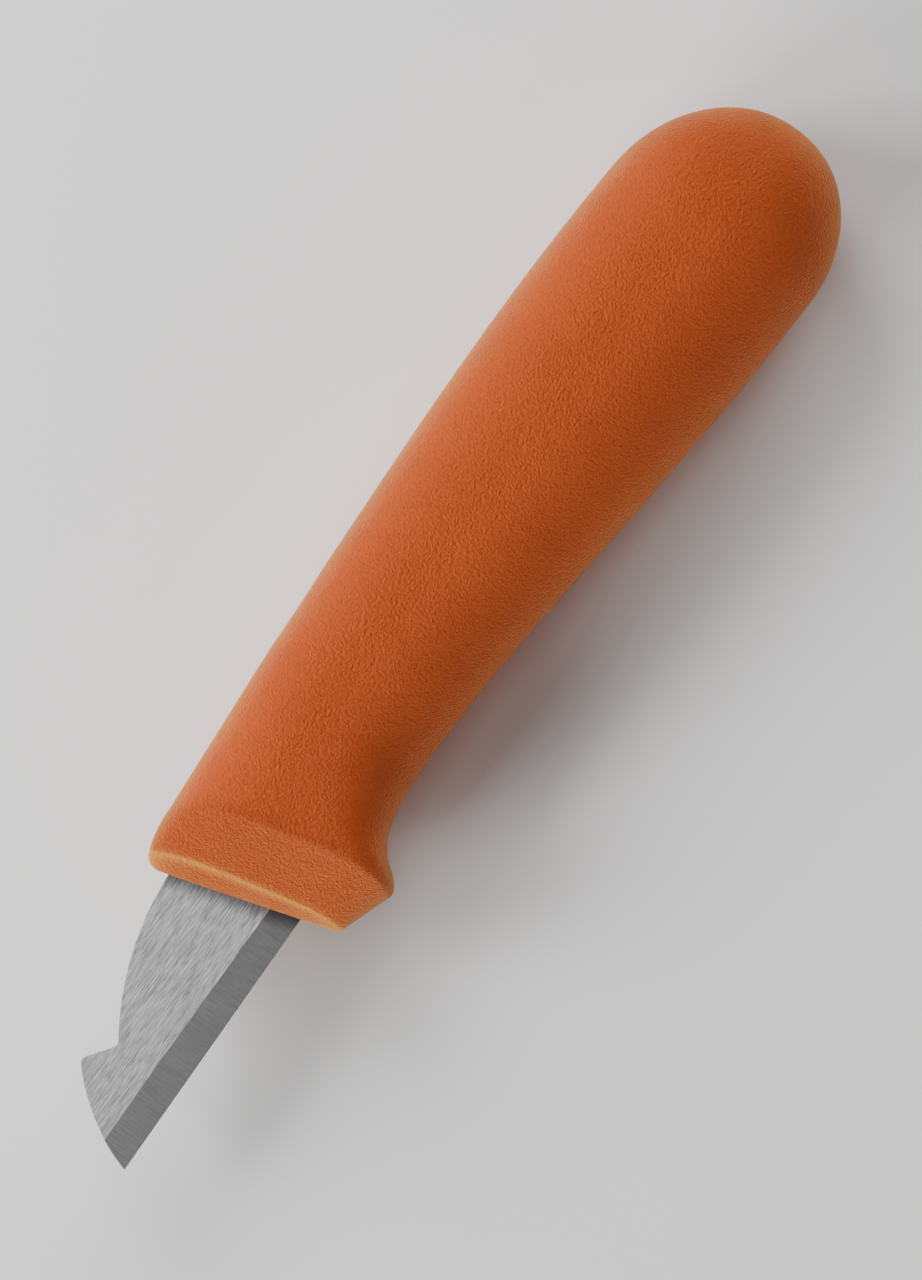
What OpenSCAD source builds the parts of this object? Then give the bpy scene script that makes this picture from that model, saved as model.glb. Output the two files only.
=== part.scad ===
// Hooked knife: a short fixed blade with a notch and a hook in its back, and a moulded handle.
// The blade's tang is locked in a hard core, and a grained skin is moulded over the core.
//
// Design frame: x runs from the butt to the tip and is 0 where the cutting edge enters the
// handle, y runs from the cutting edge (0) to the back, and z is across the thickness.
// place() lays the knife on its side, with the origin at the bottom centre of its box.

/* [Blade] */
// Length of the cutting edge outside the handle
edge_len = 40; // [34:1:60]
// Height of the blade where it leaves the handle
blade_h = 17.5; // [14.5:0.5:24]
// Thickness across the ground flats
blade_t = 1.9; // [1.5:0.1:2.5]
// Thickness left at the cutting edge
edge_t = 0.05; // [0.02:0.01:0.2]
// Height of the ground bevel above the cutting edge
bevel_h = 4.1; // [2.5:0.1:6]
// Distance from the heel forward to the highest point of the back
crown = 3.4; // [1:0.1:5]
// Distance from the tip back to the bottom of the notch
notch_back = 12.8; // [10:0.1:18]
// Height of the bottom of the notch above the cutting edge
notch_h = 10; // [8:0.1:12]
// Height of the hook's point above the bottom of the notch
hook_rise = 3.1; // [2:0.1:4]
// Slope of the hook's rear edge, in degrees
hook_angle = 36.5; // [25:0.5:60]
// Radius of the curved front, from the hook to the tip
front_r = 28; // [20:0.5:60]
// Radius in the notch and on the hook's point
corner_r = 0.8; // [0.3:0.1:1]

/* [Tang] */
// Thickness of the tang, which is the strip as rolled
tang_t = 2; // [1.6:0.1:3]
// Distance from the heel back to the end of the tang
tang_len = 72; // [40:1:86]
// Width of the tang
tang_w = 11; // [8:0.5:14]
// Height of the tang's lower side above the cutting edge
tang_rise = 5; // [4.4:0.2:6]
// Depth to which the full height of the blade runs into the handle
shoulder = 6; // [4:0.5:9]
// Diameter of the anchor holes
hole_d = 5; // [3:0.5:6]
// Distance from the heel back to the first anchor hole
hole_first = 22; // [18:1:30]
// Distance between anchor holes
hole_pitch = 20; // [12:1:26]

/* [Handle] */
// Distance from the heel back to the butt
handle_len = 121.4; // [100:0.2:146]
// Greatest width of the grip, near the butt
grip_w = 31.5; // [27:0.5:38]
// Greatest thickness of the grip
grip_t = 24.5; // [20.5:0.5:28]
// Roundness of the grip's belly side, where 2 is an ellipse and less is narrower
belly_round = 1.85; // [1.7:0.05:3]
// Distance from the heel back to the widest place
swell_back = 96; // [80:1:100]
// Length of the rounded butt
cap_len = 17.8; // [12:0.2:22]
// Fall of the grip's centre line from the neck to the butt
butt_drop = 4.4; // [0:0.1:8]
// Width of the neck
neck_w = 25.2; // [21:0.1:30.3]
// Thickness of the neck
neck_t = 20.5; // [16:0.1:24.5]
// Distance from the heel back to the neck
neck_back = 25; // [21:1:30]
// Height of the cutting edge above the belly of the neck
neck_low = 1.7; // [0:0.1:4]

/* [Guard and collar] */
// Depth of the finger guard below the belly of the neck
guard_drop = 6.2; // [4:0.1:8]
// Distance from the heel back to the lowest point of the guard
guard_back = 9.3; // [7.5:0.1:11]
// Thickness at the ridge where the bevelled collar starts
ridge_t = 20.6; // [16:0.1:24.5]
// Bow of the ridge towards the butt
ridge_bow = 3; // [1:0.1:4]
// Thickness at the front rim
rim_t = 9.9; // [8:0.1:14]
// Height of the handle's back above the blade, at the collar
collar_top = 4.8; // [4:0.1:7]
// Lean of the front face, in degrees
lean = 16.4; // [8:0.1:22]
// Thickness of the narrow face that the blade comes out of
mouth_t = 3.2; // [2.6:0.1:5]

/* [Core] */
// Thickness of the skin over the core
skin = 3; // [2:0.1:4]
// Distance from the butt to the end of the core
core_end = 9; // [5:0.5:15]
// Distance from the heel back to the front of the core
core_front = 13; // [11:0.5:17]
// Depth of the keying grooves round the core
groove_depth = 1.2; // [0.6:0.1:2]
// Width of a keying groove
groove_w = 3; // [2:0.5:5]
// Number of keying grooves
groove_n = 5; // [2:1:7]

/* [Hidden] */

grip_sides = 40;     // corners of the grip's sections
core_sides = 32;     // corners of the core's sections
cap_rings = 9;       // sections in the rounded butt
grip_step = 5;       // spacing of the sections along the grip
squareness = 2.8;    // exponent of the back half of the grip's sections: 2 is an ellipse
cap_power = 2.1;     // exponent of the butt's curve
tilt = tan(lean);    // step forward of the front face for each step up
steel = [0.68, 0.68, 0.69];
core_orange = [0.62, 0.30, 0.14];
skin_orange = [0.80, 0.32, 0.09];

function mix(a, b, t) = a + (b - a) * t;
function polar(c, r, a) = [c[0] + r * cos(a), c[1] + r * sin(a)];
function heading(p, q) = atan2(q[1] - p[1], q[0] - p[0]);

// ---- Blade outline ----

function arc(c, r, a0, a1, n) = [for (i = [0:n]) polar(c, r, mix(a0, a1, i / n))];

tip = [edge_len, 0];
notch = [edge_len - notch_back, notch_h];
mouth_top = [tilt * blade_h, blade_h];

// The back is level at its highest point and curves down to the notch.
back_run = notch[0] - crown;
back_fall = blade_h - notch_h;
back_r = (back_run * back_run + back_fall * back_fall) / (2 * back_fall);
back_c = [crown, blade_h - back_r];

// The hook's rear edge climbs from the notch to the hook's point.
hook_dir = [cos(hook_angle), sin(hook_angle)];
hook_in = [sin(hook_angle), -cos(hook_angle)];
hook_point = notch + hook_dir * hook_rise / sin(hook_angle);

// The front is an arc through the hook's point and the tip.
front_mid = (tip + hook_point) / 2;
front_half = norm(tip - hook_point) / 2;
front_dir = (hook_point - tip) / (2 * front_half);
front_c = front_mid + [-front_dir[1], front_dir[0]] * sqrt(front_r * front_r - front_half * front_half);

// Centre of a round corner that stands off the rear edge by side and is d from the centre c.
function corner_on_edge(side, c, d) =
    let (p = notch + hook_in * side - c, b = p * hook_dir)
    notch + hook_in * side + hook_dir * (sqrt(b * b - p * p + d * d) - b);
hook_c = corner_on_edge(corner_r, front_c, front_r - corner_r);
notch_c = corner_on_edge(-corner_r, back_c, back_r + corner_r);

// From the hidden shoulder along the edge to the tip, and back over the hook.
blade_outline = concat(
    [[-shoulder, 0]],
    arc(front_c, front_r, heading(front_c, tip), heading(front_c, hook_c), 16),
    arc(hook_c, corner_r, heading(front_c, hook_c), 90 + hook_angle, 6),
    arc(notch_c, corner_r, hook_angle - 90, heading(notch_c, back_c), 6),
    arc(back_c, back_r, heading(back_c, notch_c), 90, 24),
    [[-shoulder, blade_h]]
);

// ---- Blade ----

module tang_outline() {
    end_r = tang_w / 2 - 1;
    mid = tang_rise + tang_w / 2;
    difference() {
        union() {
            translate([end_r - tang_len, tang_rise])
                square([tang_len - end_r - shoulder + 3, tang_w]);
            translate([end_r - tang_len, mid])
                circle(r = end_r, $fn = 64);
        }
        for (x = [hole_first : hole_pitch : tang_len - end_r - hole_d / 2])
            translate([-x, mid])
                circle(d = hole_d, $fn = 48);
    }
}

// The flat is ground only ahead of the handle, so the tang keeps the strip's thickness.
module flat_cut() {
    over = 2;
    translate([0, 0, blade_t / 2])
        linear_extrude(tang_t)
            polygon([
                [-tilt * over, -over],
                [edge_len + over, -over],
                [edge_len + over, blade_h + over],
                [tilt * (blade_h + over), blade_h + over]
            ]);
}

module bevel_cut() {
    slope = (blade_t - edge_t) / 2 / bevel_h;
    low = -1;
    high = 1.5 * bevel_h;
    translate([-shoulder, 0, 0])
        rotate([90, 0, 90])
            linear_extrude(shoulder + edge_len + 1)
                polygon([
                    [low, edge_t / 2 + slope * low],
                    [high, edge_t / 2 + slope * high],
                    [high, tang_t + blade_t],
                    [low, tang_t + blade_t]
                ]);
}

module blade_body() {
    difference() {
        linear_extrude(tang_t, center = true) {
            polygon(blade_outline);
            tang_outline();
        }
        for (side = [0, 1])
            mirror([0, 0, side]) {
                flat_cut();
                bevel_cut();
            }
    }
}

// ---- Sections of the handle ----
// A section is [back x, back y, belly x, belly y, bow, half thickness, exponent of its back half,
// exponent of its belly half].

neck_x = -neck_back;
neck_mid = neck_w / 2 - neck_low;
swell_run = swell_back - neck_back;

// How far the grip has swollen at x: 0 at the neck and 1 at the widest place.
function swelling(x) = pow(sin(90 * max(0, neck_x - x) / swell_run), 1.6);
fall_start = neck_x - 13.6;
function mid_y(x) =
    neck_mid - butt_drop * pow(max(0, fall_start - x) / (fall_start + handle_len), 1.24);

function grip_section(x, inset = 0, end = 1) =
    let (s = swelling(x),
         w = (mix(neck_w, grip_w, s) / 2 - inset) * end,
         t = (mix(neck_t, grip_t, s) / 2 - inset) * end,
         m = mid_y(x))
    [x, m + w, x, m - w, 0, t, squareness, belly_round];

// Sections of a rounded end at x, as [x, share of full size], without its pole.
function end_rings(x, length, n) = [
    for (i = [1:n])
        let (a = 90 * (1 - i / n))
        [x + length * (1 - pow(sin(a), 2 / cap_power)), pow(cos(a), 2 / cap_power)]
];

back_y = neck_w - neck_low;
ridge_top_y = blade_h + collar_top;
ridge_top_x = -2.1;
rim_top = [mouth_top[0] - 1, blade_h + collar_top - 1];
guard_low = -neck_low - guard_drop;
rim_low = [-1.95, guard_low + 2.65];
lip_rise = 1.6;
lip_top = mouth_top + [tilt * lip_rise, lip_rise];
lip_fall = 4.1;
lip_low = [-tilt * lip_fall, -lip_fall];

// The finger hollow: [share of the way from the neck to the guard, share of the guard's depth].
hollow = [[0, 0], [0.38, 0.07], [0.63, 0.25], [0.78, 0.52], [0.885, 0.84], [0.945, 0.965], [1, 1]];
hollow_sections = [
    for (h = hollow)
        let (x = mix(neck_x, ridge_top_x, pow(h[0], 0.85)))
        [x, mix(back_y, ridge_top_y, (x - neck_x) / (ridge_top_x - neck_x)),
         mix(neck_x, -guard_back, h[0]), -neck_low - guard_drop * h[1],
         ridge_bow * h[0], mix(neck_t, ridge_t, pow(h[0], 3)) / 2,
         mix(squareness, 3, h[0]), mix(belly_round, 3, h[0])]
];

// The collar narrows from the ridge to the rim, and the lip from the rim to the mouth.
collar_sections = [
    for (q = [0.17, 0.5, 0.86, 1])
        [mix(ridge_top_x, rim_top[0], q), mix(ridge_top_y, rim_top[1], pow(q, 2.2)),
         mix(-guard_back, rim_low[0], q), mix(guard_low, rim_low[1], q),
         mix(ridge_bow, 1.2, q), mix(ridge_t, rim_t, q) / 2,
         mix(3, 3.3, q), mix(3, 3.3, q)]
];
lip_sections = [
    for (q = [0.22, 0.62, 1])
        let (turn = pow(q, 1.5))
        [mix(rim_top[0], lip_top[0], sin(90 * q)), mix(rim_top[1], lip_top[1], turn),
         mix(rim_low[0], lip_low[0], sin(90 * q)), mix(rim_low[1], lip_low[1], turn),
         1.2 * (1 - q), mix(rim_t, mouth_t, q) / 2, mix(3.3, 3.6, q), mix(3.3, 3.6, q)]
];
front_x = neck_x - 9;
front_sections = concat(
    [grip_section(front_x - 12), grip_section(front_x)],
    hollow_sections,
    collar_sections,
    lip_sections
);

// ---- A smooth run of sections through the given ones ----

function spacing(p, q) =
    (norm([q[0] - p[0], q[1] - p[1]]) + norm([q[2] - p[2], q[3] - p[3]])) / 2;
function slope_at(s, i) =
    let (h0 = spacing(s[i - 1], s[i]), d0 = (s[i] - s[i - 1]) / h0)
    i == len(s) - 1 ? d0 :
    let (h1 = spacing(s[i], s[i + 1]), d1 = (s[i + 1] - s[i]) / h1)
    (d1 * h0 + d0 * h1) / (h0 + h1);
function between(s, i, u) =
    let (h = spacing(s[i], s[i + 1]), a = u * u * (3 - 2 * u))
    s[i] * (1 - a) + s[i + 1] * a
        + slope_at(s, i) * h * u * (1 - u) * (1 - u)
        - slope_at(s, i + 1) * h * u * u * (1 - u);
function smooth(s) = concat(
    [for (i = [1 : len(s) - 2])
        let (n = max(2, ceil(spacing(s[i], s[i + 1]) / 2.2)))
        for (j = [0 : n - 1]) between(s, i, j / n)],
    [s[len(s) - 1]]
);

// ---- Solids from sections ----

function signed_pow(v, p) = sign(v) * pow(abs(v), p);
function section_points(s, sides) = [
    for (j = [0 : sides - 1])
        let (a = 360 * j / sides,
             power = 2 / (cos(a) < 0 ? s[7] : s[6]),
             w = signed_pow(cos(a), power),
             share = (w + 1) / 2)
        [mix(s[2], s[0], share) - s[4] * (1 - pow(w, 4)),
         mix(s[3], s[1], share),
         s[5] * signed_pow(sin(a), power)]
];

// A closed solid through the sections, from a pole or a flat end to a flat end.
module loft(sections, sides, pole = undef) {
    n = len(sections);
    first = is_undef(pole) ? 0 : 1;
    points = concat(
        is_undef(pole) ? [] : [pole],
        [for (s = sections) each section_points(s, sides)]
    );
    function at(i, j) = first + i * sides + j % sides;
    walls = [
        for (i = [0 : n - 2], j = [0 : sides - 1])
            each [[at(i, j), at(i + 1, j), at(i + 1, j + 1)],
                  [at(i, j), at(i + 1, j + 1), at(i, j + 1)]]
    ];
    start = is_undef(pole)
        ? [[for (j = [0 : sides - 1]) at(0, j)]]
        : [for (j = [0 : sides - 1]) [0, at(0, j), at(0, j + 1)]];
    end = [[for (j = [sides - 1 : -1 : 0]) at(n - 1, j)]];
    polyhedron(points = points, faces = concat(start, walls, end), convexity = 6);
}

grip_sections = concat(
    [for (r = end_rings(-handle_len, cap_len, cap_rings)) grip_section(r[0], 0, r[1])],
    [for (x = [cap_len - handle_len + grip_step : grip_step : front_x - grip_step / 2]) grip_section(x)],
    smooth(front_sections)
);

module handle_body() {
    loft(grip_sections, grip_sides, [-handle_len, mid_y(-handle_len), 0]);
}

core_x0 = core_end - handle_len;
core_cap = cap_len - core_end + skin;
core_run = -core_front - (core_x0 + core_cap);
groove_pitch = core_run / groove_n;
core_sections = concat(
    [for (r = end_rings(core_x0, core_cap, 6)) grip_section(r[0], skin, r[1])],
    [for (k = [0 : groove_n - 1])
        let (x = core_x0 + core_cap + groove_pitch * (k + 0.5))
        each [
            for (step = [-1, 1])
                each [grip_section(x + step * groove_w / 2, skin + (step < 0 ? 0 : groove_depth)),
                      grip_section(x + step * groove_w / 2, skin + (step < 0 ? groove_depth : 0))],
            grip_section(x + groove_pitch / 2, skin)
        ]]
);

module core_body() {
    loft(core_sections, core_sides, [core_x0, mid_y(core_x0), 0]);
}

// ---- Place in the part's frame ----

x_mid = (edge_len - handle_len) / 2;
y_top = max([for (s = grip_sections) s[1]]);
y_low = min([for (s = grip_sections) s[3]]);
z_half = max([for (s = grip_sections, p = section_points(s, grip_sides)) p[2]]);

module place() {
    translate([-x_mid, (y_top + y_low) / 2, z_half])
        rotate([180, 0, 0])
            children();
}

// ---- Nodes ----

module blade() {
    color(steel)
        place()
            blade_body();
}

module handle_core() {
    color(core_orange)
        place()
            difference() {
                core_body();
                blade_body();
            }
}

module handle_grip() {
    color(skin_orange)
        place()
            difference() {
                handle_body();
                core_body();
                blade_body();
            }
}

blade();
handle_core();
handle_grip();
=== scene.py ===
import bpy
import bmesh
import math
from mathutils import Matrix, Vector


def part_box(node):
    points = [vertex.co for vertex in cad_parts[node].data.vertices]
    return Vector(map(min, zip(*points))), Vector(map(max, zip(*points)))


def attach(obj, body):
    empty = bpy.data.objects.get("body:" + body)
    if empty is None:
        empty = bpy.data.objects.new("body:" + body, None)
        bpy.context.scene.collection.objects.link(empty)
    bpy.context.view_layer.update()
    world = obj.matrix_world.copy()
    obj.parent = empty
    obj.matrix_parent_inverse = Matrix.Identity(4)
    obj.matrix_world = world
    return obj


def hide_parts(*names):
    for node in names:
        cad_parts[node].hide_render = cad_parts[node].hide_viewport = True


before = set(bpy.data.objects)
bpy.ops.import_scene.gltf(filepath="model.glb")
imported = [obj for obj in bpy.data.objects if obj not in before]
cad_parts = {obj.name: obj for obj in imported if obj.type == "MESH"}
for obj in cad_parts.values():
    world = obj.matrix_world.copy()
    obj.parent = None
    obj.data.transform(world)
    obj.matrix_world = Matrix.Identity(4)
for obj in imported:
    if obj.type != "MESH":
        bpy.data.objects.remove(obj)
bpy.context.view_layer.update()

# Everything is drawn in millimetres with the heel of the edge at 0, 0: x to the tip, y to the
# back, z across. It is moved into the frame's metres at the end.
blade = dict(
    edgeLen=40.0,
    height=17.5,
    thick=1.9,
    edgeLand=0.05,
    bevelRear=3.95,      # height of the bevel at the heel
    bevelFront=4.35,     # and at the tip
    crown=3.4,
    notchBack=12.8,
    notchHeight=10.0,
    hookRise=3.1,
    hookAngle=36.5,
    frontRadius=28.0,
    cornerRadius=0.8,
    softEdge=0.05,       # tumbled corners of the back
    shoulder=6.0,        # full height goes this far into the handle
    sharpAngle=10.5,     # less than the bevel's, so its line is crisp
)
tang = dict(
    thick=2.0,
    length=72.0,
    width=11.0,
    rise=5.0,
    holeSize=5.0,
    holeFirst=22.0,
    holePitch=20.0,
    bite=3.0,            # how far the strip runs into the blank
)
handle = dict(
    length=121.4,
    width=31.5,
    thick=24.5,
    swellBack=96.0,
    capLen=17.8,
    buttDrop=4.4,
    neckWidth=25.2,
    neckThick=20.5,
    neckBack=25.0,
    neckLow=1.7,
    power=2.8,           # of the back half of a section, where 2 is an ellipse
    bellyPower=1.85,     # and of the belly half, which is narrower
    capPower=2.1,
    swellPower=1.6,
    fallAhead=13.6,      # the butt starts to drop this far behind the neck
    fallPower=1.24,
    blendAhead=(21.0, 9.0),     # the last two plain sections, behind the neck
    sides=176,
    endRings=36,
    pitch=1.3,           # between the sections of the grip
    frontPitch=0.35,     # and between those of the guard and collar
)
guard = dict(
    drop=6.2,
    back=9.3,
    ridgeThick=20.6,
    ridgeBow=3.0,
    rimThick=9.9,
    collarTop=4.8,
    lean=16.4,
    mouthThick=3.2,
    ridgePower=3.0,
    rimPower=3.3,
    lipPower=3.6,
    rimBow=1.2,
    ridgeBehind=2.1,     # top of the ridge behind the heel
    rimInset=1.0,        # top of the rim, in from the ridge and behind the mouth
    rimBehind=1.95,      # bottom of the rim behind the heel
    rimRise=2.65,        # and above the bottom of the guard
    lipAbove=1.6,        # the lip's ends above the blade
    lipBelow=4.1,        # and below it
    hollowPower=0.85,
    rimEase=2.2,
    lipEase=1.5,
)
seam = dict(
    crowding=0.85,       # draws the ring's points towards the seam
    width=0.34,
    height=0.05,
)
mouth = dict(
    gap=0.07,            # round the blade
    behind=-2.0,
    ahead=14.0,
)
camera = dict(
    turn=125.14,
    target=(-1.06, 4.37),
    frameHeight=166.9,
    distance=900.0,
)

tilt = math.tan(math.radians(guard["lean"]))


def mix(a, b, t):
    return a + (b - a) * t


# Sections of the handle: back x, back y, belly x, belly y, bow, half thickness, power of the
# back half, power of the belly half, collar, painted highlight, painted highlight at the ends
neckX = -handle["neckBack"]
neckMid = handle["neckWidth"] / 2 - handle["neckLow"]


def gripSection(x, end=1.0):
    toSwell = max(0, neckX - x) / (handle["swellBack"] - handle["neckBack"])
    swell = math.sin(math.pi / 2 * toSwell) ** handle["swellPower"]
    fallStart = neckX - handle["fallAhead"]
    fall = (max(0, fallStart - x) / (fallStart + handle["length"])) ** handle["fallPower"]
    width = mix(handle["neckWidth"], handle["width"], swell) / 2 * end
    thick = mix(handle["neckThick"], handle["thick"], swell) / 2 * end
    mid = neckMid - handle["buttDrop"] * fall
    return [x, mid + width, x, mid - width, 0, thick, handle["power"], handle["bellyPower"], 0, 0, 0]


def endRings(count):
    for i in range(count + 1):
        angle = math.pi / 2 * (1 - i / count)
        root = 2 / handle["capPower"]
        along = 1 - math.sin(angle) ** root
        yield -handle["length"] + handle["capLen"] * along, math.cos(angle) ** root


backY = handle["neckWidth"] - handle["neckLow"]
guardLow = -handle["neckLow"] - guard["drop"]
mouthTop = (tilt * blade["height"], blade["height"])
ridgeTop = (-guard["ridgeBehind"], blade["height"] + guard["collarTop"])
rimTop = (mouthTop[0] - guard["rimInset"], blade["height"] + guard["collarTop"] - guard["rimInset"])
rimLow = (-guard["rimBehind"], guardLow + guard["rimRise"])
lipTop = (mouthTop[0] + tilt * guard["lipAbove"], mouthTop[1] + guard["lipAbove"])
lipLow = (-tilt * guard["lipBelow"], -guard["lipBelow"])

# The finger hollow: share of the way from the neck to the guard, and of the guard's drop
hollow = ((0, 0), (0.38, 0.07), (0.63, 0.25), (0.78, 0.52), (0.885, 0.84), (0.945, 0.965), (1, 1))
# The collar: share of the way from the ridge to the rim, and how much painted highlight it gets
collarSteps = ((0.17, 0), (0.5, 0), (0.86, 0), (0.955, 0.35), (1, 1))
# The lip: share of the way from the rim to the mouth, how much painted highlight all round, and at its ends
lipSteps = ((0.07, 0.8, 0.2), (0.24, 0.2, 0.7), (0.62, 0, 0.8), (1, 0, 0.6))


def frontSections():
    rows = [gripSection(neckX - behind) for behind in handle["blendAhead"]]
    for along, down in hollow:
        x = mix(neckX, ridgeTop[0], along ** guard["hollowPower"])
        rows.append([
            x, mix(backY, ridgeTop[1], (x - neckX) / (ridgeTop[0] - neckX)),
            mix(neckX, -guard["back"], along), -handle["neckLow"] - guard["drop"] * down,
            guard["ridgeBow"] * along, mix(handle["neckThick"], guard["ridgeThick"], along ** 3) / 2,
            mix(handle["power"], guard["ridgePower"], along),
            mix(handle["bellyPower"], guard["ridgePower"], along),
            0 if along < 0.9 else along ** 8, 0, 0,
        ])
    for q, paintedHighlight in collarSteps:
        power = mix(guard["ridgePower"], guard["rimPower"], q)
        rows.append([
            mix(ridgeTop[0], rimTop[0], q), mix(ridgeTop[1], rimTop[1], q ** guard["rimEase"]),
            mix(-guard["back"], rimLow[0], q), mix(guardLow, rimLow[1], q),
            mix(guard["ridgeBow"], guard["rimBow"], q), mix(guard["ridgeThick"], guard["rimThick"], q) / 2,
            power, power, 1, paintedHighlight, 0,
        ])
    for q, paintedHighlight, ends in lipSteps:
        out = math.sin(math.pi / 2 * q)
        over = q ** guard["lipEase"]
        power = mix(guard["rimPower"], guard["lipPower"], q)
        rows.append([
            mix(rimTop[0], lipTop[0], out), mix(rimTop[1], lipTop[1], over),
            mix(rimLow[0], lipLow[0], out), mix(rimLow[1], lipLow[1], over),
            guard["rimBow"] * (1 - q), mix(guard["rimThick"], guard["mouthThick"], q) / 2,
            power, power, 1, paintedHighlight, ends,
        ])
    return rows


def spacing(p, q):
    return (math.hypot(p[0] - q[0], p[1] - q[1]) + math.hypot(p[2] - q[2], p[3] - q[3])) / 2


def slopeAt(rows, i):
    before = spacing(rows[i - 1], rows[i])
    first = [(b - a) / before for a, b in zip(rows[i - 1], rows[i])]
    if i == len(rows) - 1:
        return first
    after = spacing(rows[i], rows[i + 1])
    second = [(b - a) / after for a, b in zip(rows[i], rows[i + 1])]
    return [(d1 * before + d0 * after) / (before + after) for d0, d1 in zip(first, second)]


def smoothRun(rows, step):
    out = []
    for i in range(1, len(rows) - 1):
        gap = spacing(rows[i], rows[i + 1])
        m0, m1 = slopeAt(rows, i), slopeAt(rows, i + 1)
        count = max(3, math.ceil(gap / step))
        for j in range(count):
            u = j / count
            ease = u * u * (3 - 2 * u)
            out.append([
                a * (1 - ease) + b * ease + s0 * gap * u * (1 - u) ** 2 - s1 * gap * u * u * (1 - u)
                for a, b, s0, s1 in zip(rows[i], rows[i + 1], m0, m1)
            ])
    out.append(list(rows[-1]))
    return out


def handleSections():
    rows = [gripSection(x, end) for x, end in endRings(handle["endRings"])]
    x = -handle["length"] + handle["capLen"] + handle["pitch"]
    while x < neckX - handle["blendAhead"][1] - 0.5:
        rows.append(gripSection(x))
        x += handle["pitch"]
    rows += smoothRun(frontSections(), handle["frontPitch"])
    closing = list(rows[-1])
    closing[5] = 0.0
    return rows + [closing]


sections = handleSections()
gripLow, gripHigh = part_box("handle_grip")
yTop = max(row[1] for row in sections)
yLow = min(row[3] for row in sections)
toFrame = (
    Matrix.Translation((
        gripLow[0] + handle["length"] / 1000,
        (gripLow[1] + gripHigh[1]) / 2 + (yTop + yLow) / 2000,
        (gripLow[2] + gripHigh[2]) / 2,
    ))
    @ Matrix.Rotation(math.pi, 4, "X")
    @ Matrix.Scale(0.001, 4)
)


# Materials
def newMaterial(name):
    material = bpy.data.materials.new(name)
    material.use_nodes = True
    nodes = material.node_tree.nodes
    return material, nodes, material.node_tree.links, nodes["Principled BSDF"]


def addNode(nodes, kind, inputs=None, **settings):
    node = nodes.new(kind)
    for key, value in settings.items():
        setattr(node, key, value)
    for key, value in (inputs or {}).items():
        node.inputs[key].default_value = value
    return node


def colourRamp(nodes, stops):
    node = nodes.new("ShaderNodeValToRGB")
    ramp = node.color_ramp
    while len(ramp.elements) < len(stops):
        ramp.elements.new(0.5)
    for element, (place, colour) in zip(ramp.elements, stops):
        element.position = place
        element.color = (*colour, 1) if len(colour) == 3 else colour
    return node


skinLook = dict(
    orange=(0.49, 0.102, 0.037),
    deep=(0.465, 0.092, 0.034),
    pale=(0.515, 0.111, 0.038),
    paintedHighlight=(0.72, 0.33, 0.09),       # painted highlight, a paler golden rim
    # strength of the painted highlight
    paintedHighlightAmount=0.75,
    paintedPitShade=(0.72, 0.6, 0.5),           # painted shade in the hollows between the pebbles
    paintedPitShadeAmount=0.35,
    grainSize=0.00037,               # metres, as are the other sizes in the materials
    grainDepth=0.00033,
    gripGrain=0.7,
    collarGrain=1.0,
    warp=0.00035,
    warpScale=1400.0,
    roughness=0.46,
    gloss={
        "Specular IOR Level": 0.3,
        "Specular Tint": (1.0, 0.8, 0.45, 1),
        "Sheen Weight": 0.65,
        "Sheen Roughness": 0.22,
        "Sheen Tint": (1.0, 0.83, 0.3, 1),
    },
)


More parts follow.
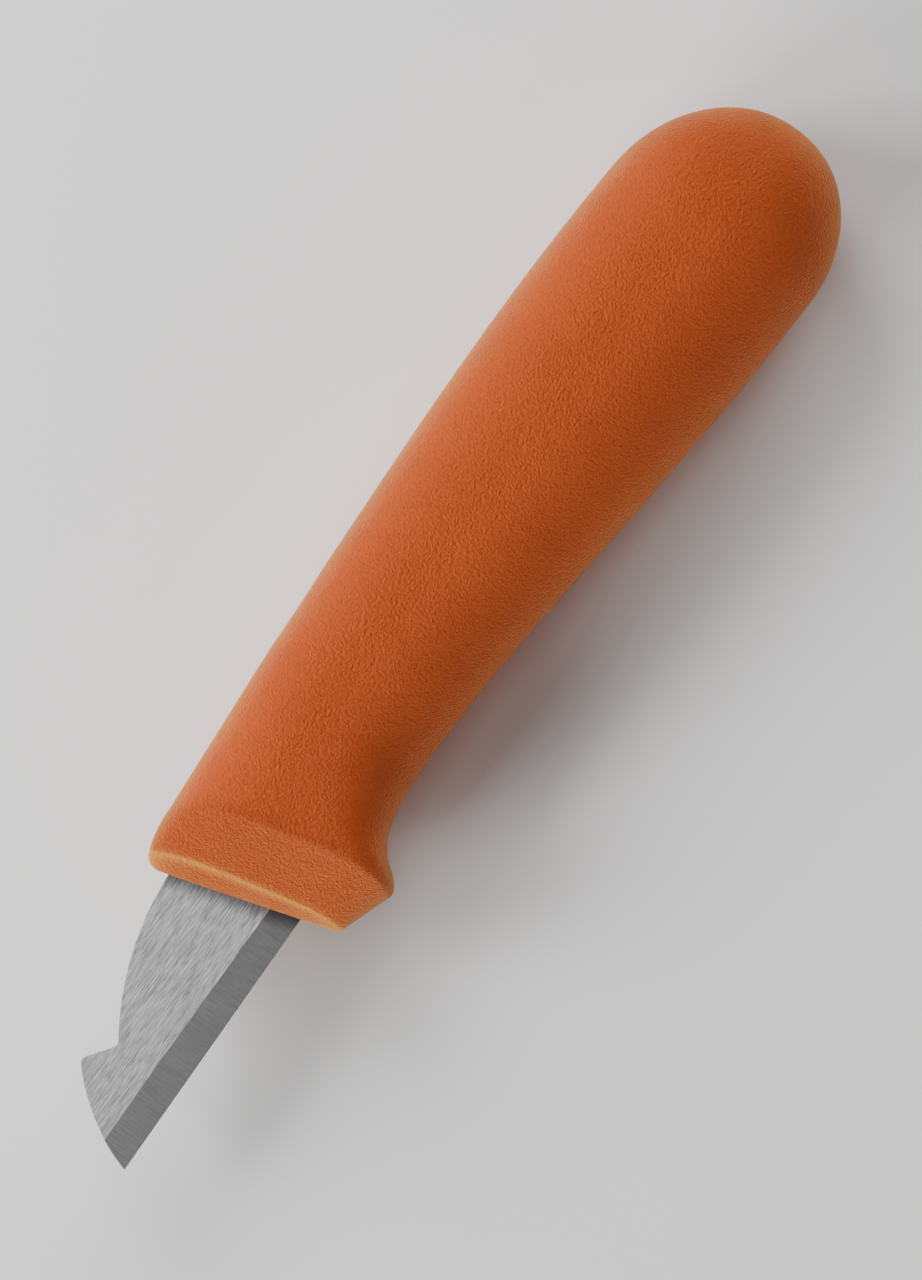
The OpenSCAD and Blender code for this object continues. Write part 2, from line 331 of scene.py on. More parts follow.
def skinMaterial():
    material, nodes, links, shader = newMaterial("grainedOrangePlastic")
    place = addNode(nodes, "ShaderNodeTexCoord")
    collar = addNode(nodes, "ShaderNodeAttribute", attribute_name="collar")
    # Warping the pattern makes the pebbles uneven
    warp = addNode(nodes, "ShaderNodeTexNoise", {"Scale": skinLook["warpScale"], "Detail": 2.0})
    links.new(place.outputs["Object"], warp.inputs["Vector"])
    bent = addNode(nodes, "ShaderNodeVectorMath", operation="MULTIPLY_ADD")
    bent.inputs[1].default_value = (skinLook["warp"],) * 3
    links.new(warp.outputs["Color"], bent.inputs[0])
    links.new(place.outputs["Object"], bent.inputs[2])
    pebbles = addNode(nodes, "ShaderNodeTexVoronoi", {
        "Scale": 1 / skinLook["grainSize"], "Smoothness": 0.6,
    }, feature="SMOOTH_F1")
    links.new(bent.outputs[0], pebbles.inputs["Vector"])
    fine = addNode(nodes, "ShaderNodeTexNoise", {"Scale": 5200.0, "Detail": 3.0, "Roughness": 0.6})
    links.new(place.outputs["Object"], fine.inputs["Vector"])
    height = addNode(nodes, "ShaderNodeMath", operation="MULTIPLY_ADD")
    height.inputs[1].default_value = -0.75
    links.new(pebbles.outputs["Distance"], height.inputs[0])
    links.new(fine.outputs["Fac"], height.inputs[2])
    # The collar's grain is deeper
    strength = addNode(nodes, "ShaderNodeMapRange", {
        "To Min": skinLook["gripGrain"], "To Max": skinLook["collarGrain"],
    })
    links.new(collar.outputs["Fac"], strength.inputs["Value"])
    bump = addNode(nodes, "ShaderNodeBump", {"Distance": skinLook["grainDepth"]})
    links.new(strength.outputs["Result"], bump.inputs["Strength"])
    links.new(height.outputs[0], bump.inputs["Height"])
    links.new(bump.outputs["Normal"], shader.inputs["Normal"])
    # Colour: cloudy over centimetres, with painted shade between the pebbles
    cloud = addNode(nodes, "ShaderNodeTexNoise", {"Scale": 70.0, "Detail": 4.0, "Roughness": 0.55})
    links.new(place.outputs["Object"], cloud.inputs["Vector"])
    clouds = colourRamp(nodes, [
        (0.3, skinLook["deep"]), (0.5, skinLook["orange"]), (0.75, skinLook["pale"]),
    ])
    links.new(cloud.outputs["Fac"], clouds.inputs["Fac"])
    paintedPitShade = addNode(nodes, "ShaderNodeMapRange", {
        "From Min": 0.25, "From Max": 0.75, "To Min": 0.0, "To Max": skinLook["paintedPitShadeAmount"],
    })
    links.new(pebbles.outputs["Distance"], paintedPitShade.inputs["Value"])
    shade = addNode(nodes, "ShaderNodeMix", data_type="RGBA", blend_type="MULTIPLY")
    shade.inputs["B"].default_value = (*skinLook["paintedPitShade"], 1)
    links.new(paintedPitShade.outputs["Result"], shade.inputs["Factor"])
    links.new(clouds.outputs["Color"], shade.inputs["A"])
    # Painted highlight: the rim and the lip's ends are painted a paler golden colour
    paintedHighlight = addNode(nodes, "ShaderNodeAttribute", attribute_name="paintedHighlight")
    paintedHighlightAmount = addNode(nodes, "ShaderNodeMath", operation="MULTIPLY", use_clamp=True)
    paintedHighlightAmount.inputs[1].default_value = skinLook["paintedHighlightAmount"]
    links.new(paintedHighlight.outputs["Fac"], paintedHighlightAmount.inputs[0])
    withPaintedHighlight = addNode(nodes, "ShaderNodeMix", data_type="RGBA")
    withPaintedHighlight.inputs["B"].default_value = (*skinLook["paintedHighlight"], 1)
    links.new(paintedHighlightAmount.outputs[0], withPaintedHighlight.inputs["Factor"])
    links.new(shade.outputs["Result"], withPaintedHighlight.inputs["A"])
    links.new(withPaintedHighlight.outputs["Result"], shader.inputs["Base Color"])
    rough = addNode(nodes, "ShaderNodeMapRange", {
        "To Min": skinLook["roughness"] - 0.07, "To Max": skinLook["roughness"] + 0.12,
    })
    links.new(cloud.outputs["Fac"], rough.inputs["Value"])
    links.new(rough.outputs["Result"], shader.inputs["Roughness"])
    for socket, value in skinLook["gloss"].items():
        shader.inputs[socket].default_value = value
    return material


steelLook = dict(
    # Dark and light tone, size of a grinding mark along x, y and z, roughness, depth of the marks
    flat=(((0.28, 0.28, 0.285), (0.88, 0.88, 0.88)), (0.0021, 0.00009, 0.00009), (0.3, 0.44), 0.000012),
    bevel=(((0.55, 0.55, 0.555), (0.71, 0.71, 0.715)), (0.00022, 0.003, 0.003), (0.34, 0.42), 0.000004),
    side=(((0.36, 0.36, 0.36), (0.58, 0.58, 0.58)), (0.0012, 0.0004, 0.0002), (0.35, 0.5), 0.00001),
    mouthShade=0.4,      # how dark the painted shade gets against the handle
    mouthFade=0.0026,
)


def steelMaterial(name, look):
    tones, lay, rough, bumpDepth = look
    material, nodes, links, shader = newMaterial(name)
    place = addNode(nodes, "ShaderNodeTexCoord")
    stretch = addNode(nodes, "ShaderNodeMapping")
    stretch.inputs["Scale"].default_value = [1 / size for size in lay]
    links.new(place.outputs["Object"], stretch.inputs["Vector"])
    marks = addNode(nodes, "ShaderNodeTexNoise", {"Scale": 1.0, "Detail": 5.0, "Roughness": 0.66})
    links.new(stretch.outputs["Vector"], marks.inputs["Vector"])
    patches = addNode(nodes, "ShaderNodeTexNoise", {"Scale": 260.0, "Detail": 3.0})
    links.new(place.outputs["Object"], patches.inputs["Vector"])
    tone = colourRamp(nodes, [(0.36, tones[0]), (0.64, tones[1])])
    links.new(marks.outputs["Fac"], tone.inputs["Fac"])
    # Painted shade: the steel is painted darker close to the handle
    heel = toFrame @ Vector((0, 0, 0))
    ahead = Vector((math.cos(math.atan(tilt)), math.sin(math.atan(tilt)), 0))
    reach = addNode(nodes, "ShaderNodeVectorMath", operation="DOT_PRODUCT")
    reach.inputs[1].default_value = ahead
    links.new(place.outputs["Object"], reach.inputs[0])
    fade = addNode(nodes, "ShaderNodeMapRange", {
        "From Min": heel.dot(ahead), "From Max": heel.dot(ahead) + steelLook["mouthFade"],
        "To Min": steelLook["mouthShade"], "To Max": 1.0,
    }, interpolation_type="SMOOTHSTEP")
    links.new(reach.outputs["Value"], fade.inputs["Value"])
    shaded = addNode(nodes, "ShaderNodeVectorMath", operation="SCALE")
    links.new(tone.outputs["Color"], shaded.inputs[0])
    links.new(fade.outputs["Result"], shaded.inputs["Scale"])
    links.new(shaded.outputs[0], shader.inputs["Base Color"])
    mixed = addNode(nodes, "ShaderNodeMix", {"Factor": 0.4}, data_type="FLOAT")
    links.new(marks.outputs["Fac"], mixed.inputs["A"])
    links.new(patches.outputs["Fac"], mixed.inputs["B"])
    roughRange = addNode(nodes, "ShaderNodeMapRange", {
        "From Min": 0.3, "From Max": 0.7, "To Min": rough[1], "To Max": rough[0],
    })
    links.new(mixed.outputs["Result"], roughRange.inputs["Value"])
    links.new(roughRange.outputs["Result"], shader.inputs["Roughness"])
    bump = addNode(nodes, "ShaderNodeBump", {"Strength": 0.6, "Distance": bumpDepth})
    links.new(marks.outputs["Fac"], bump.inputs["Height"])
    links.new(bump.outputs["Normal"], shader.inputs["Normal"])
    shader.inputs["Metallic"].default_value = 1.0
    return material


coreLook = dict(
    dark=(0.30, 0.085, 0.02),
    light=(0.38, 0.12, 0.035),
    flowScale=90.0,
    rough=(0.35, 0.55),
)


def coreMaterial():
    material, nodes, links, shader = newMaterial("hardCorePlastic")
    place = addNode(nodes, "ShaderNodeTexCoord")
    flow = addNode(nodes, "ShaderNodeTexNoise", {
        "Scale": coreLook["flowScale"], "Detail": 5.0, "Distortion": 0.8,
    })
    links.new(place.outputs["Object"], flow.inputs["Vector"])
    tone = colourRamp(nodes, [(0.3, coreLook["dark"]), (0.7, coreLook["light"])])
    links.new(flow.outputs["Fac"], tone.inputs["Fac"])
    links.new(tone.outputs["Color"], shader.inputs["Base Color"])
    rough = addNode(nodes, "ShaderNodeMapRange", {
        "To Min": coreLook["rough"][0], "To Max": coreLook["rough"][1],
    })
    links.new(flow.outputs["Fac"], rough.inputs["Value"])
    links.new(rough.outputs["Result"], shader.inputs["Roughness"])
    bump = addNode(nodes, "ShaderNodeBump", {"Strength": 0.3, "Distance": 0.0001})
    links.new(flow.outputs["Fac"], bump.inputs["Height"])
    links.new(bump.outputs["Normal"], shader.inputs["Normal"])
    return material


orangeSkin = skinMaterial()
brushedFlat = steelMaterial("brushedFlatSteel", steelLook["flat"])
groundBevel = steelMaterial("groundBevelSteel", steelLook["bevel"])
blankedSide = steelMaterial("blankedSideSteel", steelLook["side"])
print("materials made")


# The skin is a loft: one ring of points for each section
def loftTree():
    tree = bpy.data.node_groups.new("handleLoft", "GeometryNodeTree")
    face = tree.interface
    face.new_socket("Sections", in_out="INPUT", socket_type="NodeSocketGeometry")
    sockets = {}
    for label, kind in (("Sides", "NodeSocketInt"), ("Seam crowding", "NodeSocketFloat"),
                        ("Seam width", "NodeSocketFloat"), ("Seam height", "NodeSocketFloat"),
                        ("Material", "NodeSocketMaterial")):
        sockets[label] = face.new_socket(label, in_out="INPUT", socket_type=kind).identifier
    face.new_socket("Mesh", in_out="OUTPUT", socket_type="NodeSocketGeometry")
    nodes, links = tree.nodes, tree.links
    start = addNode(nodes, "NodeGroupInput")

    def math1(operation, a, b=None, c=None):
        node = addNode(nodes, "ShaderNodeMath", operation=operation)
        for slot, value in enumerate((a, b, c)):
            if value is None:
                continue
            if isinstance(value, (int, float)):
                node.inputs[slot].default_value = value
            else:
                links.new(value, node.inputs[slot])
        return node.outputs[0]

    count = addNode(nodes, "GeometryNodeAttributeDomainSize", component="MESH")
    links.new(start.outputs["Sections"], count.inputs["Geometry"])
    ringPoints = math1("ADD", start.outputs["Sides"], 1)
    grid = addNode(nodes, "GeometryNodeMeshGrid")
    links.new(count.outputs["Point Count"], grid.inputs["Vertices X"])
    links.new(ringPoints, grid.inputs["Vertices Y"])
    index = addNode(nodes, "GeometryNodeInputIndex").outputs[0]
    ring = math1("FLOOR", math1("DIVIDE", math1("ADD", index, 0.5), ringPoints))
    side = math1("SUBTRACT", index, math1("MULTIPLY", ring, ringPoints))
    turn = math1("DIVIDE", side, start.outputs["Sides"])
    wave = math1("SINE", math1("MULTIPLY", turn, 4 * math.pi))
    crowd = math1("MULTIPLY", wave, math1("MULTIPLY", start.outputs["Seam crowding"], 0.5))
    angle = math1("SUBTRACT", math1("MULTIPLY", turn, 2 * math.pi), crowd)

    def sampled(name):
        node = addNode(nodes, "GeometryNodeSampleIndex", data_type="FLOAT_VECTOR", domain="POINT")
        if name == "position":
            value = addNode(nodes, "GeometryNodeInputPosition").outputs[0]
        else:
            value = addNode(nodes, "GeometryNodeInputNamedAttribute", {"Name": name},
                            data_type="FLOAT_VECTOR").outputs["Attribute"]
        links.new(start.outputs["Sections"], node.inputs["Geometry"])
        links.new(value, node.inputs["Value"])
        links.new(ring, node.inputs["Index"])
        return node.outputs["Value"]

    def parts(vector):
        node = addNode(nodes, "ShaderNodeSeparateXYZ")
        links.new(vector, node.inputs[0])
        return node.outputs

    belly = parts(sampled("position"))
    back = parts(sampled("back"))
    shape = parts(sampled("shape"))       # bow, half thickness, power
    detail = parts(sampled("detail"))     # collar, seam, belly power
    paintedHighlightMask = parts(sampled("paintedHighlightMask"))         # painted highlight, and painted highlight at the ends
    onBelly = math1("LESS_THAN", math1("COSINE", angle), 0)
    power = math1("MULTIPLY_ADD", math1("SUBTRACT", detail[2], shape[2]), onBelly, shape[2])
    root = math1("DIVIDE", 2, power)

    def rounded(value):
        return math1("MULTIPLY", math1("SIGN", value), math1("POWER", math1("ABSOLUTE", value), root))

    w = rounded(math1("COSINE", angle))
    up = rounded(math1("SINE", angle))
    share = math1("MULTIPLY_ADD", w, 0.5, 0.5)
    bowed = math1("MULTIPLY", shape[0], math1("SUBTRACT", 1, math1("POWER", math1("ABSOLUTE", w), 4)))
    xSpan = math1("SUBTRACT", back[0], belly[0])
    ySpan = math1("SUBTRACT", back[1], belly[1])
    x = math1("SUBTRACT", math1("MULTIPLY_ADD", xSpan, share, belly[0]), bowed)
    y = math1("MULTIPLY_ADD", ySpan, share, belly[1])
    z = math1("MULTIPLY", shape[1], up)
    spot = addNode(nodes, "ShaderNodeCombineXYZ")
    for slot, value in enumerate((x, y, z)):
        links.new(value, spot.inputs[slot])
    placed = addNode(nodes, "GeometryNodeSetPosition")
    links.new(grid.outputs["Mesh"], placed.inputs["Geometry"])
    links.new(spot.outputs[0], placed.inputs["Position"])
    # The seam is a low bead where the two halves of the mould met
    halfSeam = math1("MULTIPLY", start.outputs["Seam width"], 0.5)
    nearSeam = math1("SUBTRACT", 1, math1("DIVIDE", math1("ABSOLUTE", z), halfSeam))
    atEnd = math1("GREATER_THAN", math1("ABSOLUTE", w), 0.9)
    bead = math1("MULTIPLY", math1("MULTIPLY", math1("MAXIMUM", nearSeam, 0), atEnd), detail[1])
    # Painted highlight, stronger towards the back and belly ends of each ring
    paintedHighlight = math1("MULTIPLY_ADD", math1("POWER", math1("ABSOLUTE", w), 5), paintedHighlightMask[1], paintedHighlightMask[0])
    geometry = placed.outputs["Geometry"]
    for name, value in (("collar", detail[0]), ("seam", bead), ("paintedHighlight", paintedHighlight)):
        keep = addNode(nodes, "GeometryNodeStoreNamedAttribute", {"Name": name},
                       data_type="FLOAT", domain="POINT")
        links.new(geometry, keep.inputs["Geometry"])
        links.new(value, keep.inputs["Value"])
        geometry = keep.outputs["Geometry"]
    merged = addNode(nodes, "GeometryNodeMergeByDistance", {"Distance": 0.0005})
    links.new(geometry, merged.inputs["Geometry"])
    seam = addNode(nodes, "GeometryNodeInputNamedAttribute", {"Name": "seam"}, data_type="FLOAT")
    rise = math1("MULTIPLY", seam.outputs["Attribute"], start.outputs["Seam height"])
    push = addNode(nodes, "ShaderNodeVectorMath", operation="SCALE")
    links.new(addNode(nodes, "GeometryNodeInputNormal").outputs[0], push.inputs[0])
    links.new(rise, push.inputs["Scale"])
    raised = addNode(nodes, "GeometryNodeSetPosition")
    links.new(merged.outputs["Geometry"], raised.inputs["Geometry"])
    links.new(push.outputs[0], raised.inputs["Offset"])
    smooth = addNode(nodes, "GeometryNodeSetShadeSmooth")
    links.new(raised.outputs["Geometry"], smooth.inputs["Geometry"])
    real = addNode(nodes, "GeometryNodeRealizeInstances")
    links.new(smooth.outputs["Geometry"], real.inputs["Geometry"])
    finish = addNode(nodes, "GeometryNodeSetMaterial")
    links.new(real.outputs["Geometry"], finish.inputs["Geometry"])
    links.new(start.outputs["Material"], finish.inputs["Material"])
    end = addNode(nodes, "NodeGroupOutput")
    links.new(finish.outputs["Geometry"], end.inputs["Mesh"])
    return tree, sockets


def newObject(name, mesh):
    obj = bpy.data.objects.new(name, mesh)
    bpy.context.scene.collection.objects.link(obj)
    return obj


def sectionObject(name, rows):
    mesh = bpy.data.meshes.new(name)
    joins = [(i, i + 1) for i in range(len(rows) - 1)]
    mesh.from_pydata([(row[2], row[3], 0) for row in rows], joins, [])
    fields = dict(
        back=[(row[0], row[1], 0) for row in rows],
        shape=[(row[4], row[5], row[6]) for row in rows],
        detail=[(row[8], 1 if row[5] > guard["rimThick"] / 2.5 else 0, row[7]) for row in rows],
        # painted highlight all round, and at the ends
        paintedHighlightMask=[(row[9], row[10], 0) for row in rows],
    )
    for label, values in fields.items():
        attribute = mesh.attributes.new(label, "FLOAT_VECTOR", "POINT")
        attribute.data.foreach_set("vector", [v for value in values for v in value])
    return newObject(name, mesh)


def bakedMesh(obj, name):
    depsgraph = bpy.context.evaluated_depsgraph_get()
    mesh = bpy.data.meshes.new_from_object(obj.evaluated_get(depsgraph))
    mesh.name = name
    return mesh


def outwardFaces(mesh):
    work = bmesh.new()
    work.from_mesh(mesh)
    bmesh.ops.recalc_face_normals(work, faces=work.faces)
    if work.calc_volume(signed=True) < 0:
        bmesh.ops.reverse_faces(work, faces=work.faces)
    work.to_mesh(mesh)
    work.free()


def prism(name, outline, low, high, axis="Z"):
    work = bmesh.new()
    place = (lambda a, b, c: (a, b, c)) if axis == "Z" else (lambda a, b, c: (c, a, b))
    bottom = [work.verts.new(place(a, b, low)) for a, b in outline]
    top = [work.verts.new(place(a, b, high)) for a, b in outline]
    work.faces.new(bottom[::-1])
    work.faces.new(top)
    for i in range(len(outline)):
        j = (i + 1) % len(outline)
        work.faces.new((bottom[i], bottom[j], top[j], top[i]))
    bmesh.ops.recalc_face_normals(work, faces=work.faces)
    mesh = bpy.data.meshes.new(name)
    work.to_mesh(mesh)
    work.free()
    return newObject(name, mesh)


def carve(obj, cutters, operation="DIFFERENCE"):
    for cutter in cutters:
        cut = obj.modifiers.new(cutter.name, "BOOLEAN")
        cut.operation = operation
        cut.solver = "EXACT"
        cut.object = cutter
        cutter.hide_render = True


# The blade is a blank that is cut with grinding shapes
def arcPoints(centre, radius, start, stop, count):
    return [
        (centre[0] + radius * math.cos(mix(start, stop, i / count)),
         centre[1] + radius * math.sin(mix(start, stop, i / count)))
        for i in range(count + 1)
    ]


def bladeOutline():
    tip = Vector((blade["edgeLen"], 0))
    notch = Vector((blade["edgeLen"] - blade["notchBack"], blade["notchHeight"]))
    run = notch.x - blade["crown"]
    fall = blade["height"] - blade["notchHeight"]
    backRadius = (run * run + fall * fall) / (2 * fall)
    backCentre = Vector((blade["crown"], blade["height"] - backRadius))
    slope = math.radians(blade["hookAngle"])
    along = Vector((math.cos(slope), math.sin(slope)))
    inward = Vector((math.sin(slope), -math.cos(slope)))
    hookPoint = notch + along * blade["hookRise"] / math.sin(slope)
    half = (hookPoint - tip).length / 2
    rise = (hookPoint - tip).normalized()
    radius = blade["frontRadius"]
    frontCentre = (tip + hookPoint) / 2 + Vector((-rise.y, rise.x)) * math.sqrt(radius ** 2 - half ** 2)
    corner = blade["cornerRadius"]

    def cornerCentre(side, centre, distance):
        p = notch + inward * side - centre
        b = p.dot(along)
        return notch + inward * side + along * (math.sqrt(b * b - p.dot(p) + distance ** 2) - b)

    hookCentre = cornerCentre(corner, frontCentre, radius - corner)
    notchCentre = cornerCentre(-corner, backCentre, backRadius + corner)

    def heading(a, b):
        return math.atan2(b.y - a.y, b.x - a.x)

    outline = [(-blade["shoulder"], 0.0)]
    atHook = heading(frontCentre, hookCentre)
    outline += arcPoints(frontCentre, radius, heading(frontCentre, tip), atHook, 30)
    outline += arcPoints(hookCentre, corner, atHook, math.pi / 2 + slope, 10)
    outline += arcPoints(notchCentre, corner, slope - math.pi / 2, heading(notchCentre, backCentre), 10)
    outline += arcPoints(backCentre, backRadius, heading(backCentre, notchCentre), math.pi / 2, 60)
    outline.append((-blade["shoulder"], blade["height"]))
    kept = [outline[0]]
    for point in outline[1:]:
        if math.dist(point, kept[-1]) > 1e-4:
            kept.append(point)
    return kept


def tangOutline():
    endRadius = tang["width"] / 2 - 1
    mid = tang["rise"] + tang["width"] / 2
    inner = -blade["shoulder"] + tang["bite"]
    low, high = tang["rise"], tang["rise"] + tang["width"]
    rear = endRadius - tang["length"]
    outline = [(inner, low), (inner, high), (rear, high), (rear, mid + endRadius)]
    outline += arcPoints((rear, mid), endRadius, math.pi / 2, math.pi * 1.5, 24)[1:-1]
    outline += [(rear, mid - endRadius), (rear, low)]
    return outline


grind = dict(
    flatTop=30.0,        # corners of the cutter that thins the flat
    flatLow=-2.0,
    flatFar=50.0,
    wedgeTop=7.0,        # heights of the cutter that makes the bevel
    wedgeLow=-1.0,
    out=6.0,             # how far both stand out from the middle
    weld=0.0005,
    flatten=0.4,         # faces this close to one plane are joined, in degrees
)


def bladeMesh(soft):
    half = tang["thick"] / 2
    body = prism("bladeBlank", bladeOutline(), -half, half)
    strip = prism("tangStrip", tangOutline(), -half, half)
    carve(body, [strip], "UNION")
    mid = tang["rise"] + tang["width"] / 2
    holes = []
    x = tang["holeFirst"]
    while x <= tang["length"] - (tang["width"] / 2 - 1) - tang["holeSize"] / 2:
        ring = arcPoints((-x, mid), tang["holeSize"] / 2, 0, 2 * math.pi, 48)[:-1]
        holes.append(prism("anchorHole", ring, -2 * tang["thick"], 2 * tang["thick"]))
        x += tang["holePitch"]
    grinds = []
    for side in (1, -1):
        # The ground flat stops at the mouth, and the bevel runs on into the handle
        low, top, far = grind["flatLow"], grind["flatTop"], grind["flatFar"]
        flat = [(low * tilt, low), (far, low), (far, top), (tilt * top, top)]
        depths = sorted((side * blade["thick"] / 2, side * grind["out"]))
        grinds.append(prism("flatGrind", flat, *depths))
        land = blade["edgeLand"] / 2
        ends = []
        for xEnd in (-blade["shoulder"], blade["edgeLen"] + 1):
            top = mix(blade["bevelRear"], blade["bevelFront"], max(0, xEnd) / blade["edgeLen"])
            gain = (blade["thick"] / 2 - land) / top
            wedge = (
                (grind["wedgeLow"], land + gain * grind["wedgeLow"]),
                (grind["wedgeTop"], land + gain * grind["wedgeTop"]),
                (grind["wedgeTop"], grind["out"]), (grind["wedgeLow"], grind["out"]),
            )
            ends.append([(xEnd, h, side * z) for h, z in wedge])
        work = bmesh.new()
        rear, front = [[work.verts.new(p) for p in end] for end in ends]
        work.faces.new(rear)
        work.faces.new(front[::-1])
        for i in range(4):
            j = (i + 1) % 4
            work.faces.new((rear[i], front[i], front[j], rear[j]))
        bmesh.ops.triangulate(work, faces=work.faces)
        bmesh.ops.recalc_face_normals(work, faces=work.faces)
        mesh = bpy.data.meshes.new("bevelGrind")
        work.to_mesh(mesh)
        work.free()
        grinds.append(newObject("bevelGrind", mesh))
    carve(body, holes + grinds)
    mesh = bakedMesh(body, "bladeSteel")
    for helper in [body, strip] + holes + grinds:
        bpy.data.objects.remove(helper)
    work = bmesh.new()
    work.from_mesh(mesh)
    bmesh.ops.remove_doubles(work, verts=work.verts, dist=grind["weld"])
    bmesh.ops.dissolve_limit(
        work, angle_limit=math.radians(grind["flatten"]), verts=work.verts, edges=work.edges,
    )
    bmesh.ops.recalc_face_normals(work, faces=work.faces)
    if soft:
        # Edges between a flat and a side, above the bevel and ahead of the shoulder
        rims = [
            e for e in work.edges
            if len(e.link_faces) == 2
            and min(abs(f.normal.z) for f in e.link_faces) < 0.2
            and max(abs(f.normal.z) for f in e.link_faces) > 0.9
            and max(v.co.y for v in e.verts) > 4.5
            and min(v.co.x for v in e.verts) > -blade["shoulder"] + 0.1
        ]
        bmesh.ops.bevel(work, geom=rims, offset=soft, segments=2, profile=0.5, affect="EDGES")
    for face in work.faces:
        upright = abs(face.normal.z)
        face.material_index = 0 if upright > 0.995 else (1 if upright > 0.93 else 2)     # flat, bevel, side
        face.smooth = True
    work.to_mesh(mesh)
    work.free()
    mesh.set_sharp_from_angle(angle=math.radians(blade["sharpAngle"]))
    return mesh


plainBlade = bladeMesh(0)
softBlade = bladeMesh(blade["softEdge"])
print("blade", len(softBlade.polygons), "faces")

# The skin is hollow where the core, the tang and the blade go
loft, loftInputs = loftTree()
skinSource = sectionObject("skinSections", sections)
shaping = skinSource.modifiers.new("shape", "NODES")
shaping.node_group = loft
for label, value in (("Sides", handle["sides"]), ("Seam crowding", seam["crowding"]),
                     ("Seam width", seam["width"]), ("Seam height", seam["height"]),
                     ("Material", orangeSkin)):
    shaping[loftInputs[label]] = value
mouthEdge = blade["edgeLand"] / 2 + mouth["gap"]
mouthHalf = blade["thick"] / 2 + mouth["gap"]
mouthRoof = blade["height"] + mouth["gap"]
mouthSection = [
    (-mouth["gap"], -mouthEdge), (blade["bevelRear"], -mouthHalf), (mouthRoof, -mouthHalf),
    (mouthRoof, mouthHalf), (blade["bevelRear"], mouthHalf), (-mouth["gap"], mouthEdge),
]
mouthCutter = prism("mouthCutter", mouthSection, mouth["behind"], mouth["ahead"], axis="X")
tangCutter = newObject("tangCutter", plainBlade)
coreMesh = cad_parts["handle_core"].data.copy()
coreMesh.transform(toFrame.inverted())
work = bmesh.new()
work.from_mesh(coreMesh)
bmesh.ops.remove_doubles(work, verts=work.verts, dist=0.002)
bmesh.ops.recalc_face_normals(work, faces=work.faces)
work.to_mesh(coreMesh)
work.free()
coreCutter = newObject("coreCutter", coreMesh)
carve(skinSource, [coreCutter, mouthCutter, tangCutter])
skinMesh = bakedMesh(skinSource, "handleSkin")
for helper in (skinSource, mouthCutter, tangCutter, coreCutter):
    bpy.data.objects.remove(helper)
outwardFaces(skinMesh)
print("skin", len(skinMesh.polygons), "faces")


def finishPiece(name, mesh, materials, node):
    mesh.transform(toFrame)
    slots = [face.material_index if len(materials) > 1 else 0 for face in mesh.polygons]
    mesh.materials.clear()
    for material in materials:
        mesh.materials.append(material)
    mesh.polygons.foreach_set("material_index", slots)
    piece = newObject(name, mesh)
    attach(piece, "root")
    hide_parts(node)
    return piece


handleSkin = finishPiece("handleSkin", skinMesh, [orangeSkin], "handle_grip")
bladeFinishes = [brushedFlat, groundBevel, blankedSide]
bladeSteel = finishPiece("bladeSteel", softBlade, bladeFinishes, "blade")
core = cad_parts["handle_core"]
core.data.materials.clear()
core.data.materials.append(coreMaterial())
print("pieces placed")

room = dict(
    reach=1.2,
    # Name, lean from straight up, turn from the back towards the tip, size, power
    lights=(
        ("overhead", 0, 0, (0.9, 0.7), 1.55),
        ("backButtPanel", 60, -30, (0.55, 0.55), 5.9),
        ("backTipPanel", 60, 30, (0.55, 0.55), 7.6),
        ("tipPanel", 70, 74, (0.55, 0.55), 11.5),
        ("buttPanel", 76, -68, (0.55, 0.55), 4.8),
        ("bellyButtStrip", 88, -140, (0.9, 0.08), 3.1),
        ("bellyTipStrip", 88, 140, (0.9, 0.08), 4.8),
    ),
    skyLight=0.045,
    exposure=0.13,
    floorSize=4.0,
    floorTones=((0.85, 0.845, 0.84), (0.88, 0.875, 0.87)),
)


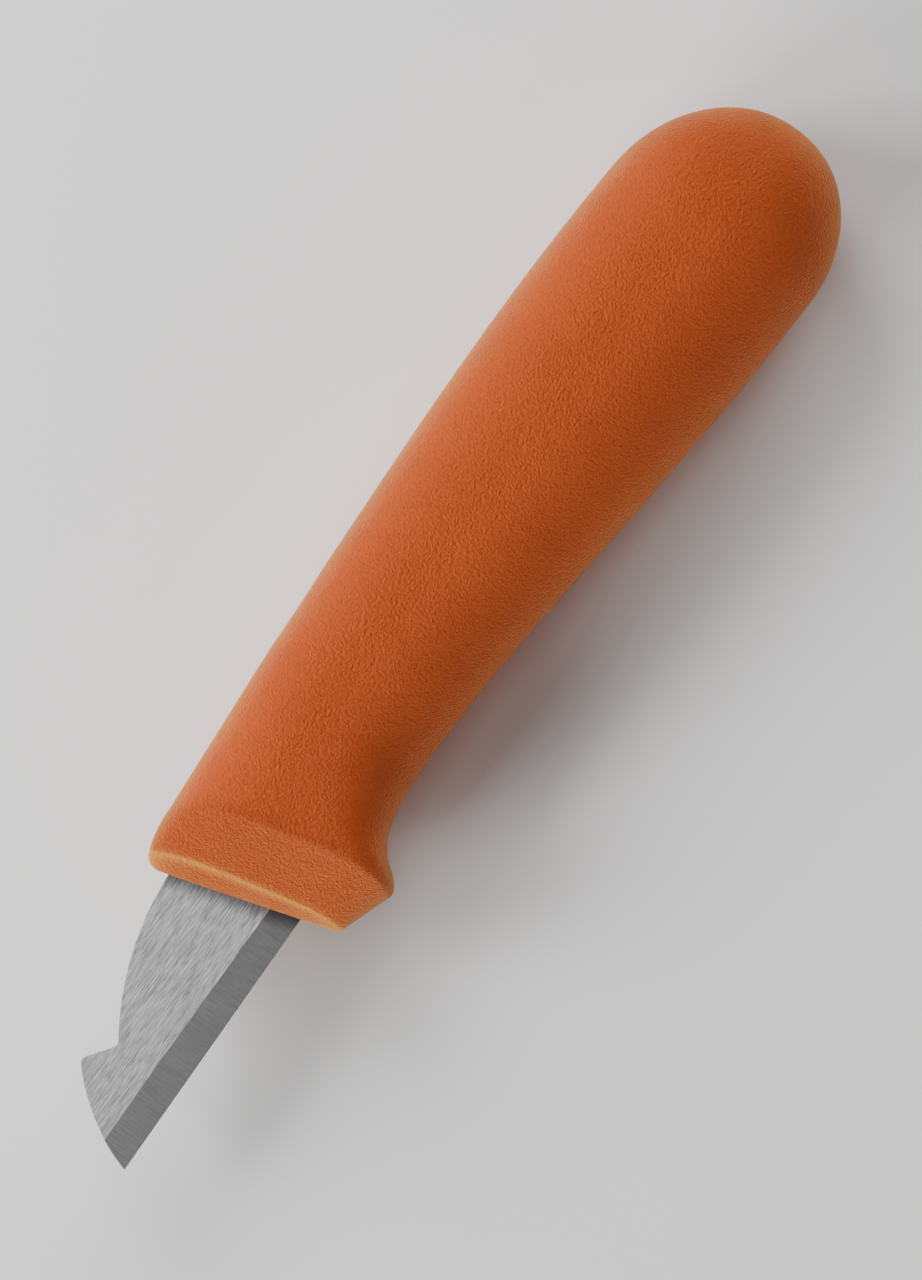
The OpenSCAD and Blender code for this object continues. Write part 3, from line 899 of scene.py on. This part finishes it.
def floorMaterial():
    material, nodes, links, shader = newMaterial("paleTable")
    place = addNode(nodes, "ShaderNodeTexCoord")
    cloud = addNode(nodes, "ShaderNodeTexNoise", {"Scale": 3.0, "Detail": 4.0})
    links.new(place.outputs["Object"], cloud.inputs["Vector"])
    tone = colourRamp(nodes, [(0.3, room["floorTones"][0]), (0.7, room["floorTones"][1])])
    links.new(cloud.outputs["Fac"], tone.inputs["Fac"])
    links.new(tone.outputs["Color"], shader.inputs["Base Color"])
    shader.inputs["Roughness"].default_value = 0.8
    return material


work = bmesh.new()
bmesh.ops.create_grid(work, x_segments=8, y_segments=8, size=room["floorSize"])
floorMesh = bpy.data.meshes.new("floor")
work.to_mesh(floorMesh)
work.free()
floorMesh.materials.append(floorMaterial())
floor = newObject("floor", floorMesh)

target = Vector((camera["target"][0] / 1000, camera["target"][1] / 1000, (gripLow[2] + gripHigh[2]) / 2))
distance = camera["distance"] / 1000
cameraData = bpy.data.cameras.new("camera")
cameraData.sensor_fit = "VERTICAL"
cameraData.sensor_height = 24.0
cameraData.lens = 24.0 * camera["distance"] / camera["frameHeight"]
cameraData.clip_start = 0.05
cameraData.clip_end = 20.0
cameraObject = newObject("camera", cameraData)
cameraObject.location = target + Vector((0, 0, distance))
cameraObject.rotation_euler = (0, 0, math.radians(camera["turn"]))
bpy.context.scene.camera = cameraObject


def softLight(name, lean, turn, size, power):
    data = bpy.data.lights.new(name, "AREA")
    data.shape = "RECTANGLE"
    data.size, data.size_y = size
    data.energy = power
    lamp = newObject(name, data)
    down, about = math.radians(lean), math.radians(turn)
    away = Vector((math.sin(down) * math.sin(about), -math.sin(down) * math.cos(about), math.cos(down)))
    lamp.location = away * room["reach"]
    aim = Vector((0, 0, (gripLow[2] + gripHigh[2]) / 2))
    lamp.rotation_euler = (aim - lamp.location).to_track_quat("-Z", "Y").to_euler()


for row in room["lights"]:
    softLight(*row)
world = bpy.data.worlds.new("room")
world.use_nodes = True
world.node_tree.nodes["Background"].inputs["Color"].default_value = (1, 1, 1, 1)
world.node_tree.nodes["Background"].inputs["Strength"].default_value = room["skyLight"]
bpy.context.scene.world = world
bpy.context.scene.view_settings.view_transform = "AgX"
bpy.context.scene.view_settings.look = "AgX - Medium High Contrast"
bpy.context.scene.view_settings.exposure = room["exposure"]
print("room ready")
